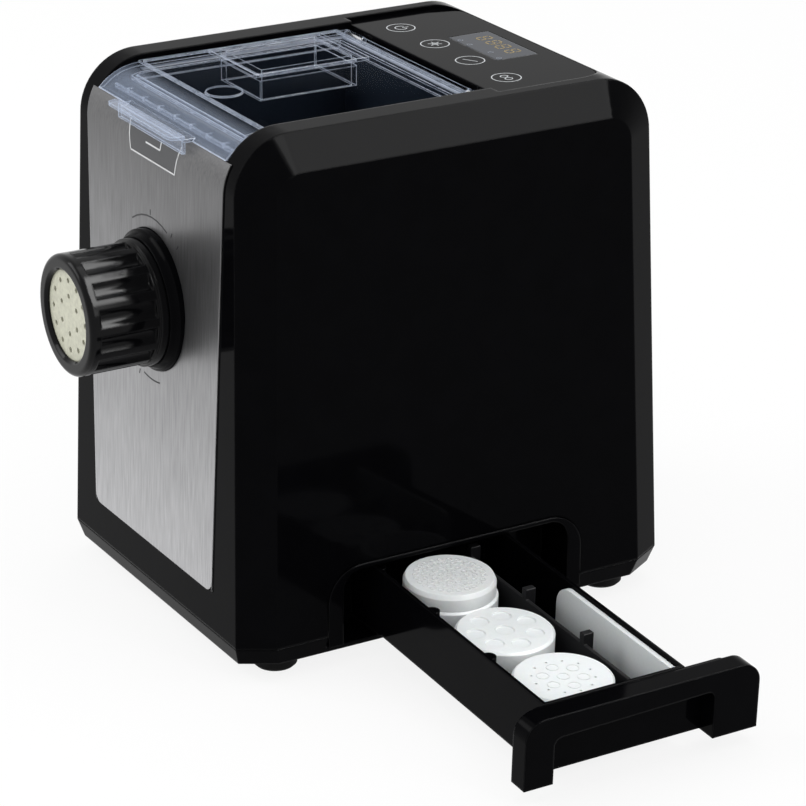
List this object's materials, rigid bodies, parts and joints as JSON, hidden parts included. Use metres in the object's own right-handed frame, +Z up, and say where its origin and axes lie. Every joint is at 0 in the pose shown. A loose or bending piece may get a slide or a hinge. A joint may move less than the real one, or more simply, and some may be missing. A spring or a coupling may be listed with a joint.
{
  "type": "electric pasta maker",
  "caption": "Upright electric pasta maker with a clear lid over a mixing bowl, a front extruder with a screw-on ring, and a side drawer for spare discs.",
  "frame": {"origin": "centre of the body on the plane the four feet stand on", "axes": "+X towards the side with the drawer, -Y towards the extruder, +Z up"},
  "size_m": [0.4027, 0.3182, 0.2989],
  "materials": {
    "black_gloss": "gloss",
    "black_matte": "satin",
    "steel_sheet": "brushed",
    "steel_bright": "satin",
    "motor_steel": "satin",
    "clear_lid": "gloss",
    "tray_clear": "gloss",
    "rubber": "matte",
    "cream_plastic": "satin",
    "white_plastic": "satin",
    "dark_plastic": "satin",
    "gear_plastic": "satin",
    "brass": "satin",
    "board": "satin",
    "display": "gloss"
  },
  "bodies": {
    "base": {"housing": "black_gloss", "base_tray": "black_matte", "foot_front_left": "rubber", "foot_front_right": "rubber", "foot_rear_left": "rubber", "foot_rear_right": "rubber", "base_screws": "steel_bright", "front_panel": "steel_sheet", "control_panel": "black_gloss", "display_window": "display", "control_board": "board", "mixing_bowl": "black_matte", "shaft_seal": "rubber", "barrel": "dark_plastic", "nozzle_collar": "black_gloss", "gear_plate_front": "steel_bright", "gear_plate_rear": "steel_bright", "gear_pillars": "steel_bright", "shaft_bushes": "brass", "motor_can": "motor_steel", "motor_stator": "motor_steel", "power_board": "board", "lead_inlet": "black_matte", "lid_switch": "black_matte", "bay_frame": "black_matte", "drawer_bay": "black_matte"},
    "lid": {"lid": "clear_lid", "lid_seal": "rubber", "hinge_pins": "steel_bright"},
    "die": {"die_plate": "cream_plastic"},
    "ring": {"locking_ring": "black_gloss"},
    "drive": {"drive_shaft": "steel_bright", "output_wheel": "gear_plastic", "worm_screw": "dark_plastic", "mixing_paddle": "dark_plastic"},
    "layshaft": {"layshaft": "steel_bright", "layshaft_cluster": "gear_plastic"},
    "rotor": {"motor_rotor": "steel_bright", "motor_pinion": "brass", "cooling_fan": "white_plastic"},
    "drawer": {"drawer_tray": "tray_clear", "drawer_inner_front": "black_matte", "drawer_front": "black_gloss", "tool_rail": "black_matte", "cleaning_tool": "white_plastic", "spare_die_front": "white_plastic", "spare_die_middle": "white_plastic", "spare_die_rear": "white_plastic", "spare_washer": "white_plastic"}
  },
  "joints": [
    {"name": "lid_hinge", "type": "hinge", "parent": "base", "child": "lid", "pos_m": [0, 0.0324, 0.292], "axis": [-1, 0, 0], "range_deg": [0, 95]},
    {"name": "die_slide", "type": "slide", "parent": "base", "child": "die", "axis": [0, -1, 0], "range_m": [0, 0.05]},
    {"name": "ring_turn", "type": "hinge", "parent": "die", "child": "ring", "pos_m": [0, -0.165, 0.1858], "axis": [0, -1, 0], "range_deg": [0, 60]},
    {"name": "drive_spin", "type": "hinge", "parent": "base", "child": "drive", "pos_m": [0, 0, 0.1858], "axis": [0, 1, 0], "continuous": true},
    {"name": "layshaft_spin", "type": "hinge", "parent": "base", "child": "layshaft", "pos_m": [0.0262, 0.045, 0.12961], "axis": [0, 1, 0], "continuous": true},
    {"name": "rotor_spin", "type": "hinge", "parent": "base", "child": "rotor", "pos_m": [-0.00827, 0.08, 0.10068], "axis": [0, 1, 0], "continuous": true},
    {"name": "drawer_slide", "type": "slide", "parent": "base", "child": "drawer", "axis": [0.999, 0, -0.0436], "range_m": [-0.183, 0]}
  ],
  "couplings": [
    {"joint": "layshaft_spin", "follows": "drive_spin", "ratio": -4.1667},
    {"joint": "rotor_spin", "follows": "drive_spin", "ratio": 16.667}
  ]
}
